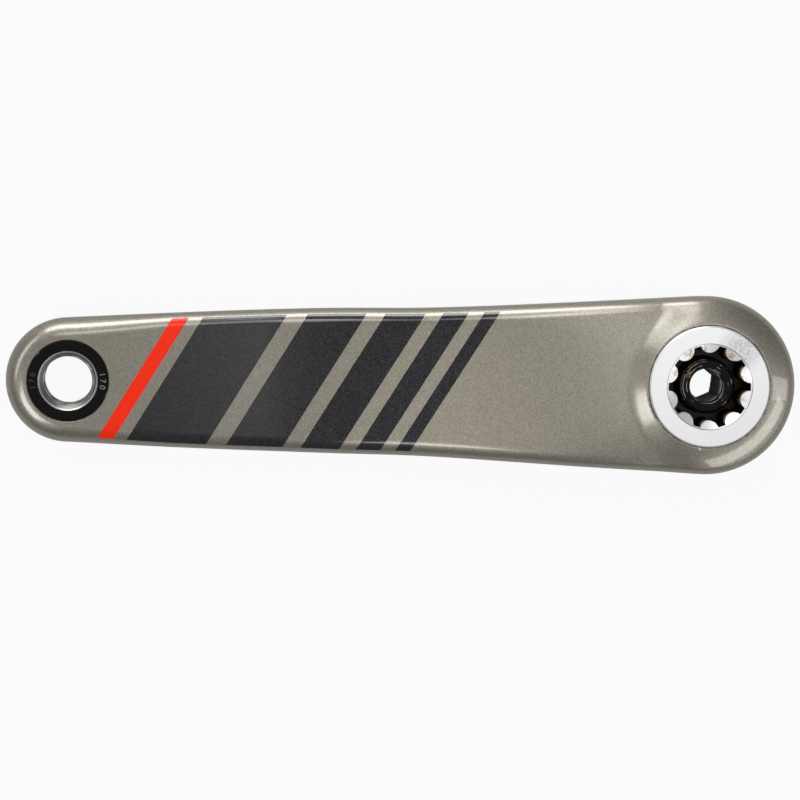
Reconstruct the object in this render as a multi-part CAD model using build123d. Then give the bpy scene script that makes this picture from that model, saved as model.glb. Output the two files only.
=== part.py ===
from build123d import *
import os
from math import cos, radians, sin, tan

# A left bicycle crank arm, in millimetres. The origin is where the spindle axis meets the bearing
# face of the spindle insert, +Z points inboard along that axis and the pedal axis lies at -X.
# Depths are measured outboard from the bearing face.

# Planform of the arm
crank_length = 170.0
pedal_surround = 6.18
pedal_flare_deg = 2.8
spindle_flare_deg = 3.2
side_handle = 123.0
draft_deg = 2.0

# Inboard face: flat at the pedal, rising to a crest under the boss and crowned towards the boss
pedal_face_depth = 20.0
pedal_flat_length = 52.0
crest_distance = 12.0
crest_depth = 1.8
crest_radius = 90.0
crown_start_distance = 62.0
crown_below_rim = 0.45
deck_pitch = 10.0
deck_lanes = 9

# Outboard face: two levels joined by an easy curve
pedal_thickness = 13.0
outboard_depth = 24.0
outboard_flat_length = 24.0
outboard_pedal_length = 17.0

# Boss round the spindle insert
boss_step = 0.4
boss_lip = 1.07
boss_flank_width = 6.75
boss_slope_deg = 27.0
boss_edge_radius = 2.2
boss_blend_radius = 6.0

# Edges of the arm: rounded inboard, bevelled outboard, broken at its two bores
inboard_rim_radius = 4.2
outboard_bevel = 3.0
bore_break = 0.25

# Spindle insert: stepped barrel with a ten-lobe tapered spline
ring_step = 1.53
barrel_depth = 12.5
rear_wall = 2.6
insert_depth = 22.2
ring_edge_break = 0.35
spline_lobes = 10
spline_major_radius = 11.08
spline_lobe_radius = 2.55
spline_lobe_offset = 0.52
spline_depth = 12.0
spline_taper_deg = 1.0
spline_mouth_width = 0.37
spline_mouth_depth = 1.1
spline_undercut = 0.92

# Pedal insert
pedal_thread_radius = 6.5
pedal_wall = 4.3
pedal_lead_in = 1.45
pedal_edge_break = 0.2

# Crank bolt
bolt_thread_radius = 7.5
bolt_end_depth = 4.0
bolt_end_chamfer = 0.8
bolt_flange_thickness = 3.6
bolt_relief_width = 1.5
bolt_relief_depth = 0.7
bolt_hub_radius = 6.6
bolt_hub_end_depth = 22.3
bolt_edge_break = 0.3
hex_width = 8.0
hex_turn_deg = 22.2
hex_mouth_radius = 5.0
hex_mouth_depth = 2.0
hex_lead_in = 0.6

# Washers and extractor cap
thrust_washer_thickness = 1.2
glide_washer_thickness = 0.5
cap_flange_width = 1.4
cap_flange_thickness = 1.2
cap_hole_radius = 7.0
cap_edge_break = 0.3
pin_hole_radius = 1.25
pin_hole_inset = 3.4
pin_hole_depth = 3.0

# Clearances
bond_gap = 0.05
thread_gap = 0.05
bolt_side_gap = 0.4
bolt_end_float = 0.1
washer_gap = 0.3

# Sizes that follow from those above
pedal_x = -crank_length
pedal_insert_radius = pedal_thread_radius + pedal_wall
pedal_end_radius = pedal_insert_radius + pedal_surround
spline_lobe_circle = spline_major_radius + spline_lobe_offset
spline_mouth_radius = spline_major_radius + spline_mouth_width
cap_thread_radius = spline_major_radius + spline_undercut
rear_barrel_radius = cap_thread_radius + rear_wall
ring_radius = rear_barrel_radius + ring_step
boss_top_radius = ring_radius + boss_lip
spindle_end_radius = boss_top_radius + boss_flank_width
cap_flange_radius = cap_thread_radius + cap_flange_width
pin_hole_circle = cap_flange_radius - pin_hole_inset
draft = tan(radians(draft_deg))
boss_slope = tan(radians(boss_slope_deg))
pedal_outboard_depth = pedal_face_depth + pedal_thickness
rim_depth = boss_step + (spindle_end_radius - boss_top_radius) * boss_slope
crown_drop = rim_depth + crown_below_rim - crest_depth
pedal_flat_end = pedal_x + pedal_flat_length
pedal_sole_end = pedal_x + outboard_pedal_length
overhang = 2 * spindle_end_radius
bolt_flange_depth = spline_depth + thrust_washer_thickness + bolt_end_float
bolt_flange_radius = cap_thread_radius - bolt_side_gap
bolt_back_depth = bolt_flange_depth + bolt_flange_thickness
glide_washer_depth = bolt_back_depth + bolt_end_float
cap_depth = glide_washer_depth + glide_washer_thickness
washer_radius = cap_thread_radius - washer_gap
spindle_seat_radius = ring_radius + bond_gap
rear_seat_radius = rear_barrel_radius + bond_gap
pedal_seat_radius = pedal_insert_radius + bond_gap
lobe_tip_radius = spline_lobe_circle - spline_lobe_radius
cap_back_depth = insert_depth + cap_flange_thickness
margin = 1.0


def planform(depth):
    """Closed outline of the arm at one depth; the draft makes it smaller outboard."""
    pedal_r = pedal_end_radius + (pedal_face_depth - depth) * draft
    spindle_r = spindle_end_radius + (rim_depth - depth) * draft
    flare_p = radians(pedal_flare_deg)
    flare_s = radians(spindle_flare_deg)
    pedal_top = Vector(pedal_x - pedal_r * sin(flare_p), pedal_r * cos(flare_p))
    spindle_top = Vector(-spindle_r * sin(flare_s), spindle_r * cos(flare_s))
    upper = Bezier(
        pedal_top,
        pedal_top + Vector(cos(flare_p), sin(flare_p)) * side_handle,
        spindle_top - Vector(cos(flare_s), sin(flare_s)) * side_handle,
        spindle_top,
    )
    lower = mirror(upper, about=Plane.XZ)
    pedal_arc = ThreePointArc(
        (pedal_top.X, -pedal_top.Y), (pedal_x - pedal_r, 0), pedal_top
    )
    spindle_arc = ThreePointArc(
        spindle_top, (spindle_r, 0), (spindle_top.X, -spindle_top.Y)
    )
    face = make_face([pedal_arc, upper, spindle_arc, lower])
    return Pos(0, 0, -depth) * face


def ease(ratio):
    """Smooth step from 0 to 1, level at both ends."""
    ratio = min(max(ratio, 0.0), 1.0)
    return ratio * ratio * (3 - 2 * ratio)


def deck_depth(x, y):
    """Depth of the inboard face at one place."""
    climb = ease((x - pedal_flat_end) / (-crest_distance - pedal_flat_end))
    depth = pedal_face_depth + (crest_depth - pedal_face_depth) * climb
    past_crest = max(x + crest_distance, 0.0)
    depth += past_crest**2 / (2 * crest_radius)
    crown = crown_drop * ease((x + crown_start_distance) / (crown_start_distance - crest_distance))
    return depth + crown * abs(y / spindle_end_radius) ** 3


def below_deck():
    """Everything outboard of the inboard face."""
    half_width = spindle_end_radius + 4 * margin
    length = crank_length + 2 * overhang
    points = []
    for station in range(round(length / deck_pitch), -1, -1):
        x = overhang - deck_pitch * station
        lanes = [half_width * (2 * lane / (deck_lanes - 1) - 1) for lane in range(deck_lanes)]
        points.append([(x, y, -deck_depth(x, y)) for y in lanes])
    deck = Face.make_surface_from_array_of_points(points, tol=0.01, min_deg=3, max_deg=5)
    return extrude(deck, amount=2 * pedal_outboard_depth, dir=(0, 0, -1))


def above_sole():
    """Everything inboard of the outboard face."""
    left = pedal_x - overhang
    right = overhang
    sole = [
        Line((right, margin), (right, -outboard_depth)),
        Line((right, -outboard_depth), (-outboard_flat_length, -outboard_depth)),
        Spline(
            (-outboard_flat_length, -outboard_depth),
            (pedal_sole_end, -pedal_outboard_depth),
            tangents=[(-1, 0), (-1, 0)],
        ),
        Line((pedal_sole_end, -pedal_outboard_depth), (left, -pedal_outboard_depth)),
        Line((left, -pedal_outboard_depth), (left, margin)),
        Line((left, margin), (right, margin)),
    ]
    face = Plane.XZ.offset(-overhang) * make_face(sole)
    return extrude(face, amount=2 * overhang)


def disc(radius, top_depth, bottom_depth, x=0.0):
    """Solid cylinder on a vertical axis between two depths."""
    height = bottom_depth - top_depth
    middle = -0.5 * (top_depth + bottom_depth)
    return Pos(x, 0, middle) * Cylinder(radius, height)


def cone(top_radius, top_depth, bottom_radius, bottom_depth, x=0.0):
    """Solid cone frustum on a vertical axis between two depths."""
    height = bottom_depth - top_depth
    middle = -0.5 * (top_depth + bottom_depth)
    return Pos(x, 0, middle) * Cone(bottom_radius, top_radius, height)


def shared_edges(first, second):
    """Edges where the faces of one list meet the faces of another."""
    others = [edge for face in second for edge in face.edges()]
    return [edge for face in first for edge in face.edges() if edge in others]


def rim_circles(solid, radius):
    """Circular edges of one radius, lowest first."""
    circles = solid.edges().filter_by(GeomType.CIRCLE)
    return circles.filter_by(lambda edge: abs(edge.radius - radius) < 1e-4).sort_by(Axis.Z)


def blank_arm():
    """Beam and boss, still with sharp edges."""
    inboard_end = planform(-margin)
    outboard_end = planform(pedal_outboard_depth + margin)
    prism = loft([inboard_end, outboard_end], ruled=True)
    beam = prism & below_deck() & above_sole()
    boss_foot = boss_step + (overhang - boss_top_radius) * boss_slope
    boss = cone(boss_top_radius, boss_step, overhang, boss_foot)
    boss = boss & prism & disc(overhang, boss_step, outboard_depth)
    return beam + boss


def rounded_arm():
    """Blank with the boss blended in, the inboard edges rounded and the outboard edge bevelled."""
    arm = blank_arm()
    flank = arm.faces().filter_by(GeomType.CONE).sort_by(Axis.Z)[-1:]
    deck = arm.faces().filter_by(lambda face: face.normal_at().Z > 0.9)
    foot = [edge for edge in shared_edges(flank, deck) if edge.center().Z < -boss_step - margin]
    arm = fillet(foot, boss_blend_radius)
    arm = fillet(rim_circles(arm, boss_top_radius), boss_edge_radius)
    walls = arm.faces().filter_by(lambda face: abs(face.normal_at().Z) < 0.1)
    tops = arm.faces().filter_by(lambda face: face.normal_at().Z > 0.1)
    arm = fillet(shared_edges(walls, tops), inboard_rim_radius)
    walls = arm.faces().filter_by(lambda face: abs(face.normal_at().Z) < 0.1)
    soles = arm.faces().filter_by(lambda face: face.normal_at().Z < -0.9)
    return chamfer(shared_edges(walls, soles), outboard_bevel)


def arm_body():
    """One-piece moulded arm with its two insert seats."""
    arm = rounded_arm()
    arm -= disc(spindle_seat_radius, -margin, barrel_depth + bond_gap)
    arm -= disc(rear_seat_radius, 0, outboard_depth + margin)
    arm -= disc(pedal_seat_radius, 0, pedal_outboard_depth + margin, pedal_x)
    arm = chamfer(rim_circles(arm, spindle_seat_radius)[-1], bore_break)
    arm = chamfer(rim_circles(arm, rear_seat_radius)[0], bore_break)
    return chamfer(rim_circles(arm, pedal_seat_radius), bore_break)


def splined_bore():
    """Space inside the spline: a slightly closing cone between ten round lobes that lean with it."""
    lean = tan(radians(spline_taper_deg))
    end_depth = spline_depth + margin
    bore = cone(
        spline_major_radius + margin * lean, -margin, spline_major_radius - end_depth * lean, end_depth
    )
    lobe = Rot(0, spline_taper_deg, 0) * Cylinder(spline_lobe_radius, 3 * end_depth)
    lobe = Pos(spline_lobe_circle, 0, 0) * lobe
    for index in range(spline_lobes):
        bore -= Rot(0, 0, (index + 0.5) * 360.0 / spline_lobes) * lobe
    return bore


def spindle_insert():
    """Bonded metal sleeve with the splined bore, its lead-in and the seat for the cap."""
    barrel = disc(ring_radius, 0, barrel_depth)
    barrel = chamfer(rim_circles(barrel, ring_radius)[-1], ring_edge_break)
    barrel += disc(rear_barrel_radius, barrel_depth, insert_depth)
    barrel -= splined_bore()
    barrel -= cone(spline_mouth_radius, 0, lobe_tip_radius, spline_mouth_depth)
    return barrel - disc(cap_thread_radius, spline_depth, insert_depth + margin)


def pedal_insert():
    """Flush metal bush with the pedal thread at its crest radius and a lead-in at each mouth."""
    mouth = pedal_thread_radius + pedal_lead_in
    bush = disc(pedal_insert_radius, pedal_face_depth, pedal_outboard_depth, pedal_x)
    bush = chamfer(rim_circles(bush, pedal_insert_radius), pedal_edge_break)
    bush -= disc(pedal_thread_radius, 0, pedal_outboard_depth + margin, pedal_x)
    inner = pedal_face_depth + pedal_lead_in
    outer = pedal_outboard_depth - pedal_lead_in
    bush -= cone(mouth, pedal_face_depth, pedal_thread_radius, inner, pedal_x)
    return bush - cone(pedal_thread_radius, outer, mouth, pedal_outboard_depth, pedal_x)


def crank_bolt():
    """Captive hollow bolt: threaded shank, flange, hub and a hexagon right through."""
    thread_end = bolt_end_depth + bolt_end_chamfer
    neck_depth = bolt_flange_depth - bolt_relief_width
    bolt = cone(bolt_thread_radius - bolt_end_chamfer, bolt_end_depth, bolt_thread_radius, thread_end)
    bolt += disc(bolt_thread_radius, thread_end, neck_depth)
    bolt += disc(bolt_thread_radius - bolt_relief_depth, neck_depth, bolt_flange_depth)
    flange = disc(bolt_flange_radius, bolt_flange_depth, bolt_back_depth)
    bolt += chamfer(rim_circles(flange, bolt_flange_radius), bolt_edge_break)
    hub = disc(bolt_hub_radius, bolt_back_depth, bolt_hub_end_depth)
    bolt += chamfer(rim_circles(hub, bolt_hub_radius)[0], bolt_edge_break)
    hexagon = RegularPolygon(hex_width / 2, 6, major_radius=False, rotation=hex_turn_deg)
    bolt -= extrude(Pos(0, 0, -bolt_hub_end_depth - margin) * hexagon, bolt_hub_end_depth + margin)
    mouth_end = bolt_end_depth + hex_mouth_depth
    bolt -= disc(hex_mouth_radius, 0, mouth_end)
    bolt -= cone(hex_mouth_radius, mouth_end, hex_width / 2, mouth_end + hex_lead_in)
    key_side = bolt_hub_end_depth - hex_lead_in
    return bolt - cone(hex_width / 2, key_side, hex_mouth_radius, bolt_hub_end_depth)


def washer(inner_radius, top_depth, thickness):
    """Flat ring that lies in the bore behind the spline."""
    ring = disc(washer_radius, top_depth, top_depth + thickness)
    return ring - disc(inner_radius, 0, top_depth + thickness + margin)


def thrust_washer():
    """Steel ring between the back of the spline and the bolt's flange."""
    return washer(bolt_thread_radius + washer_gap, spline_depth, thrust_washer_thickness)


def glide_washer():
    """Thin plastic ring between the bolt's flange and the cap."""
    return washer(cap_hole_radius, glide_washer_depth, glide_washer_thickness)


def extractor_cap():
    """Screwed ring that holds the bolt captive, with a flange and two pin-spanner holes."""
    cap = disc(cap_thread_radius - thread_gap, cap_depth, insert_depth)
    flange = disc(cap_flange_radius, insert_depth, cap_back_depth)
    cap += chamfer(rim_circles(flange, cap_flange_radius)[0], cap_edge_break)
    cap -= disc(cap_hole_radius, 0, cap_back_depth + margin)
    for side in (-1, 1):
        pin_hole = disc(pin_hole_radius, cap_back_depth - pin_hole_depth, cap_back_depth + margin)
        cap -= Pos(0, side * pin_hole_circle, 0) * pin_hole
    return cap


PARTS = {
    "arm_body": arm_body,
    "spindle_insert": spindle_insert,
    "pedal_insert": pedal_insert,
    "crank_bolt": crank_bolt,
    "thrust_washer": thrust_washer,
    "glide_washer": glide_washer,
    "extractor_cap": extractor_cap,
}


def main():
    """Write one STEP file for each piece."""
    os.makedirs("parts", exist_ok=True)
    for name, make in PARTS.items():
        solid = make()
        solid.label = name
        export_step(solid, f"parts/{name}.step")


main()
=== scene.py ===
"""Looks of a left bicycle crank arm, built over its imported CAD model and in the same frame."""

import logging
import math
from dataclasses import dataclass, field
from enum import Enum
from typing import Dict, List, Optional, Sequence, Tuple, Union

import bmesh
import bpy
import numpy as np
from mathutils import Matrix, Quaternion, Vector


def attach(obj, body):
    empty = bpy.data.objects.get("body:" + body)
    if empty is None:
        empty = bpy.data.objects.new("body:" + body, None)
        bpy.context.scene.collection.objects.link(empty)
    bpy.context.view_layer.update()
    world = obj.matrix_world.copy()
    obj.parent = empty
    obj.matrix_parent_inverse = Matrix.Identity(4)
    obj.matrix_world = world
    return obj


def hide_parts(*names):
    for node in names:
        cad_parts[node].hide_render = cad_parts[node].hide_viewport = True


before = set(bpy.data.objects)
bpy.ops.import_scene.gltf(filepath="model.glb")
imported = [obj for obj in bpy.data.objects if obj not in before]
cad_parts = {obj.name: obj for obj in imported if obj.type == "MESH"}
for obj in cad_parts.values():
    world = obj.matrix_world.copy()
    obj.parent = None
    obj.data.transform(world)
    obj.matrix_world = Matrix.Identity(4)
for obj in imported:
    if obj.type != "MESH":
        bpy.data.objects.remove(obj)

LOG = logging.getLogger("crank_arm")
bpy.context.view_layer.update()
MM = 0.001
MIRROR = np.array([1.0, -1.0])
WELD = 0.0004 * MM
CAD_WELD = 0.001 * MM
SLIVER = 1e-16
Pair = Tuple[float, float]
Triple = Tuple[float, float, float]
Colour = Triple
Sizes = Union[float, np.ndarray]
Ring = Tuple[Sizes, float]
Key = Union[int, str]
Level = Union[float, "Wire"]
Paint = Union[Colour, "Wire"]
Feed = Union[float, Colour, "Wire"]


class Body(Enum):
    """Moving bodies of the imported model."""

    ARM = "arm"
    BOLT = "bolt"


class Slot(Enum):
    """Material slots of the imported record."""

    PAINT = "arm_paint"
    SPINDLE = "insert_alloy"
    PEDAL = "pedal_alloy"
    BOLT = "bolt_steel"
    THRUST = "washer_steel"
    GLIDE = "washer_plastic"
    CAP = "cap_alloy"


class Hand(Enum):
    """Sense of a screw thread."""

    RIGHT = 1
    LEFT = -1


def srgb(red: int, green: int, blue: int) -> Colour:
    """Turn an 8-bit colour into the linear one that a shader takes.

    Args:
        red: Red, 0 to 255.
        green: Green, 0 to 255.
        blue: Blue, 0 to 255.

    Returns:
        The linear colour.
    """
    def linear(level: int) -> float:
        """Undo the display curve of one channel."""
        part = level / 255.0
        return part / 12.92 if part <= 0.04045 else ((part + 0.055) / 1.055) ** 2.4

    return linear(red), linear(green), linear(blue)


def ease(ratio: np.ndarray) -> np.ndarray:
    """Smooth step from 0 to 1, level at both ends."""
    ratio = np.clip(ratio, 0.0, 1.0)
    return ratio * ratio * (3.0 - 2.0 * ratio)


def polar(turn: np.ndarray, radius: Sizes, axis_x: float = 0.0) -> np.ndarray:
    """Places in plan round an upright axis, from their azimuths and radii."""
    return np.stack([axis_x + radius * np.cos(turn), radius * np.sin(turn)], axis=1)


def lathe(rings: Sequence[Ring], turn: np.ndarray, axis_x: float = 0.0) -> np.ndarray:
    """Places of a turned form whose radius may change round the axis.

    Args:
        rings: Radius, as a number or one for each column, and height of each ring.
        turn: Azimuth of each column; the last one closes the ring.
        axis_x: Place of the axis along X.

    Returns:
        Places in millimetres, by ring, column and axis.
    """
    points = np.array([
        np.column_stack([polar(turn, radius, axis_x), np.full(len(turn), height)])
        for radius, height in rings
    ])
    points[:, -1] = points[:, 0]
    return points


def groove(turns: float, share: np.ndarray, hand: Hand, steepness: float) -> np.ndarray:
    """Depth of a thread groove round one ring.

    Args:
        turns: Height of the ring in pitches.
        share: Share of a full turn at each column.
        hand: Sense of the thread.
        steepness: Slope of its flanks.

    Returns:
        0 on the crest and 1 in the root, for each column.
    """
    phase = (turns - hand.value * share) % 1.0
    return np.clip(steepness * (0.5 - np.abs(2.0 * phase - 1.0)), 0.0, 1.0)


def skin(bm: bmesh.types.BMesh, points: np.ndarray, zone: Optional[np.ndarray] = None) -> None:
    """Lay one grid of quads and move each of its corners to its place.

    Args:
        bm: Mesh that takes the grid.
        points: Places in millimetres, by row, column and axis.
        zone: Number for each row, stored on its corners as "rim".
    """
    rows, columns = points.shape[0] - 1, points.shape[1] - 1
    layer = bm.verts.layers.float.get("rim")
    made = bmesh.ops.create_grid(bm, x_segments=columns, y_segments=rows, size=1.0)
    for vert in made["verts"]:
        column = round((vert.co.x + 1.0) * 0.5 * columns)
        row = round((vert.co.y + 1.0) * 0.5 * rows)
        vert.co = Vector(points[row, column]) * MM
        if layer is not None:
            vert[layer] = 2.0 if zone is None else zone[row]


def close_up(bm: bmesh.types.BMesh) -> None:
    """Weld the seams of a finished shell and turn its faces outwards."""
    bmesh.ops.remove_doubles(bm, verts=bm.verts, dist=WELD)
    flat = [face for face in bm.faces if face.calc_area() < SLIVER]
    bmesh.ops.delete(bm, geom=flat, context="FACES")
    bmesh.ops.recalc_face_normals(bm, faces=bm.faces)


def to_object(bm: bmesh.types.BMesh, name: str, sharp_deg: float) -> bpy.types.Object:
    """Store a mesh as an object with smooth faces between its sharp edges.

    Args:
        bm: Finished mesh; it is freed here.
        name: Name of the new object.
        sharp_deg: Edges that turn by more than this stay sharp.

    Returns:
        The new object, at the origin.
    """
    mesh = bpy.data.meshes.new(name)
    bm.to_mesh(mesh)
    bm.free()
    stored = mesh.attributes.get("custom_normal")
    if stored is not None:
        mesh.attributes.remove(stored)
    mesh.shade_smooth()
    mesh.set_sharp_from_angle(angle=math.radians(sharp_deg))
    piece = bpy.data.objects.new(name, mesh)
    bpy.context.scene.collection.objects.link(piece)
    return piece


def settle(piece: bpy.types.Object, body: Body, slot: Slot, finish: bpy.types.Material, *nodes: str) -> None:
    """Give a piece its finish, hang it on its body and hide the CAD nodes that it stands for.

    Args:
        piece: The finished object.
        body: Body that carries it.
        slot: Slot that its finish belongs to; not used.
        finish: Material for all its faces.
        nodes: CAD nodes that it stands for.
    """
    piece.data.materials.clear()
    piece.data.materials.append(finish)
    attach(piece, body.value)
    if nodes:
        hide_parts(*nodes)
    LOG.info("%s: %d faces", piece.name, len(piece.data.polygons))


@dataclass(frozen=True)
class Wire:
    """Output of one node; sums and comparisons with it add Math nodes to its tree."""

    nodes: "Nodes"
    socket: bpy.types.NodeSocket

    def __add__(self, other: Level) -> "Wire":
        """Sum."""
        return self.nodes.math("ADD", self, other)

    __radd__ = __add__

    def __sub__(self, other: Level) -> "Wire":
        """Difference."""
        return self.nodes.math("SUBTRACT", self, other)

    def __rsub__(self, other: float) -> "Wire":
        """Difference from a plain number."""
        return self.nodes.math("SUBTRACT", other, self)

    def __mul__(self, other: Level) -> "Wire":
        """Product."""
        return self.nodes.math("MULTIPLY", self, other)

    def __or__(self, other: Level) -> "Wire":
        """The larger of two."""
        return self.nodes.math("MAXIMUM", self, other)

    def __gt__(self, edge: Level) -> "Wire":
        """1 above an edge and 0 below it."""
        return self.nodes.math("GREATER_THAN", self, edge)

    def __lt__(self, edge: Level) -> "Wire":
        """1 below an edge and 0 above it."""
        return self.nodes.math("LESS_THAN", self, edge)


class Nodes:
    """Builder for one node tree."""

    def __init__(self, tree: bpy.types.NodeTree) -> None:
        """Start from an empty tree."""
        self.tree = tree
        tree.nodes.clear()

    def feed(self, socket: bpy.types.NodeSocket, level: Feed) -> None:
        """Link a socket, or set it where the level is a plain number or colour."""
        if isinstance(level, Wire):
            self.tree.links.new(level.socket, socket)
        elif isinstance(level, tuple) and len(socket.default_value) == 4:
            socket.default_value = (*level, 1.0)
        else:
            socket.default_value = level

    def make(self, kind: str, inputs: Dict[Key, Feed], output: Key = 0, **options: str) -> Wire:
        """Add one node.

        Args:
            kind: Blender's name of the node, without its prefix.
            inputs: What its inputs take, by their names or numbers.
            output: Name or number of the output to use.
            options: Settings of the node itself.

        Returns:
            The output.
        """
        node = self.tree.nodes.new("ShaderNode" + kind)
        for option, choice in options.items():
            setattr(node, option, choice)
        for key, level in inputs.items():
            self.feed(node.inputs[key], level)
        return Wire(self, node.outputs[output])

    def close(self, kind: str, surface: Wire) -> None:
        """Send a shader to an output node of one kind."""
        out = self.tree.nodes.new("ShaderNode" + kind)
        self.feed(out.inputs["Surface"], surface)

    def math(self, operation: str, first: Level, second: Level = 0.0) -> Wire:
        """One operation, by Blender's name of it."""
        return self.make("Math", {0: first, 1: second}, operation=operation)

    def span(self, level: Level, low: float, high: float, start: float = 0.0, end: float = 1.0) -> Wire:
        """Smooth change from one value to another over an interval.

        Args:
            level: What is mapped.
            low: Lower end of the interval.
            high: Upper end of the interval.
            start: Value at the lower end.
            end: Value at the upper end.

        Returns:
            The mapped value.
        """
        inputs = {"Value": level, "From Min": low, "From Max": high, "To Min": start, "To Max": end}
        return self.make("MapRange", inputs, "Result", interpolation_type="SMOOTHSTEP")

    def split(self, vector: Wire) -> Tuple[Wire, ...]:
        """The three parts of a vector."""
        first = self.make("SeparateXYZ", {0: vector})
        return tuple(Wire(self, part) for part in first.socket.node.outputs)


class Graph(Nodes):
    """Builder for one procedural material on Object coordinates."""

    def __init__(self, name: str) -> None:
        """Start a material with one Principled shader."""
        self.material = bpy.data.materials.new(name)
        self.material.use_nodes = True
        super().__init__(self.material.node_tree)
        surface = self.make("BsdfPrincipled", {}, "BSDF")
        self.close("OutputMaterial", surface)
        self.shader = surface.socket.node
        self.place = self.make("TexCoord", {}, "Object")

    def set(self, **levels: Feed) -> None:
        """Feed the shader's own sockets, named in lower case with underscores."""
        for key, level in levels.items():
            words = key.replace("_", " ").title().replace("Ior", "IOR")
            self.feed(self.shader.inputs[words], level)

    def axes(self) -> Tuple[Wire, ...]:
        """The three Object coordinates, in metres."""
        return self.split(self.place)

    def away(self, centre_x: float = 0.0, centre_y: float = 0.0) -> Wire:
        """Distance from an upright axis, in metres."""
        x, y, _ = self.axes()
        across, along = x - centre_x, y - centre_y
        return self.math("SQRT", across * across + along * along)

    def spot(self, spot_mm: Triple, core: float = 0.2) -> Wire:
        """Soft round mask.

        Args:
            spot_mm: Middle of the spot along X and Y, and its radius.
            core: Share of the radius that is full.

        Returns:
            The mask, 1 in the core and 0 outside.
        """
        centre_x, centre_y, radius = (size * MM for size in spot_mm)
        return self.span(self.away(centre_x, centre_y), core * radius, radius, 1.0, 0.0)

    def stripes(self, level: Wire, spans_mm: Sequence[Pair]) -> Wire:
        """1 inside any of some intervals in millimetres and 0 outside them."""
        return sum((level > low * MM) * (level < high * MM) for low, high in spans_mm)

    def below(self, level: Wire, span_mm: Pair) -> Wire:
        """Soft mask, 1 below an interval in millimetres and 0 above it."""
        return self.span(level, span_mm[0] * MM, span_mm[1] * MM, 1.0, 0.0)

    def noise(self, pitch: float, detail: float = 3.0, stretch: Triple = (1.0, 1.0, 1.0)) -> Wire:
        """Cloudy noise.

        Args:
            pitch: Size of its clouds, in metres.
            detail: Octaves.
            stretch: Scale along each axis.

        Returns:
            Noise from 0 to 1.
        """
        scaled = self.make("Mapping", {"Vector": self.place, "Scale": stretch})
        return self.make("TexNoise", {"Vector": scaled, "Scale": 1.0 / pitch, "Detail": detail})

    def flakes(self, pitch: float) -> Wire:
        """One random number for each cell of a fine pattern."""
        cells = self.make("TexVoronoi", {"Vector": self.place, "Scale": 1.0 / pitch}, "Color")
        return self.make("SeparateColor", {0: cells})

    def mix(self, share: Level, first: Paint, second: Paint, blend: str = "MIX") -> Wire:
        """Blend two colours.

        Args:
            share: Share of the second colour.
            first: First colour.
            second: Second colour.
            blend: Blender's name of the blend.

        Returns:
            The blended colour.
        """
        return self.make("Mix", {0: share, 6: first, 7: second}, 2, data_type="RGBA", blend_type=blend)

    def shaded(self, colour: Paint, level: Wire) -> Wire:
        """A colour times a level."""
        grey = self.make("CombineColor", {0: level, 1: level, 2: level})
        return self.mix(1.0, colour, grey, "MULTIPLY")

    def bump(self, height: Wire, depth: float, strength: float) -> Wire:
        """Normal bent by a height, with its depth in metres."""
        return self.make("Bump", {"Strength": strength, "Distance": depth, "Height": height})


@dataclass(frozen=True)
class FlakePaint:
    """Metallic flake paint with printed slanted bars, under a gloss clear coat."""

    paint: Colour = srgb(154, 148, 135)
    charcoal: Colour = srgb(41, 41, 44)
    signal: Colour = srgb(255, 42, 0)
    chip: Colour = srgb(196, 194, 188)
    grime: Colour = srgb(62, 58, 52)
    bars_mm: Tuple[Pair, ...] = (
        (-144.5, -122.5), (-117.0, -101.5), (-96.5, -86.0), (-81.5, -75.0), (-71.0, -67.0),
    )
    signal_bar_mm: Pair = (-152.6, -148.2)
    lean: float = 0.62
    print_edge: float = 0.45
    flake_pitch: float = 0.26 * MM
    paint_sparkle: Pair = (0.83, 1.19)
    print_sparkle: Pair = (0.3, 1.7)
    chip_reach: float = 17.1 * MM
    grime_reach: Pair = (16.21 * MM, 16.62 * MM)
    wear_floor: float = -5.0 * MM

    def material(self) -> bpy.types.Material:
        """Make the paint.

        Returns:
            The material.
        """
        graph = Graph("flake_paint")
        x, y, z = graph.axes()
        radius = graph.away()
        inboard = z > self.wear_floor
        across = x - y * self.lean
        on_face = graph.make("Attribute", {}, "Fac", attribute_name="rim") < self.print_edge
        bars = graph.stripes(across, self.bars_mm) * on_face
        signal = graph.stripes(across, (self.signal_bar_mm,)) * on_face
        flakes = graph.flakes(self.flake_pitch)
        paint = graph.shaded(self.paint, graph.span(flakes, 0.0, 1.0, *self.paint_sparkle))
        charcoal = graph.shaded(self.charcoal, graph.span(flakes, 0.0, 1.0, *self.print_sparkle))
        chips = (graph.noise(1.1 * MM) > 0.67) * (radius < self.chip_reach) * inboard
        grime = (radius < graph.span(graph.noise(1.7 * MM), 0.42, 0.68, *self.grime_reach)) * inboard
        ground = graph.mix(signal, graph.mix(bars, paint, charcoal), self.signal)
        ground = graph.mix(grime, graph.mix(chips, ground, self.chip), self.grime)
        graph.set(
            base_color=ground,
            metallic=(1.0 - (signal | chips | grime)) * 0.9,
            roughness=graph.noise(5.0 * MM) * 0.1 + 0.36,
            normal=graph.bump(flakes, 0.004 * MM, 0.25),
            specular_ior_level=0.5 - signal * 0.35,
            coat_weight=1.0 - signal * 0.7,
            coat_roughness=0.035,
            coat_ior=1.7,
            coat_normal=graph.bump(graph.noise(2.2 * MM, 2.0), 0.006 * MM, 0.12),
        )
        return graph.material


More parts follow.
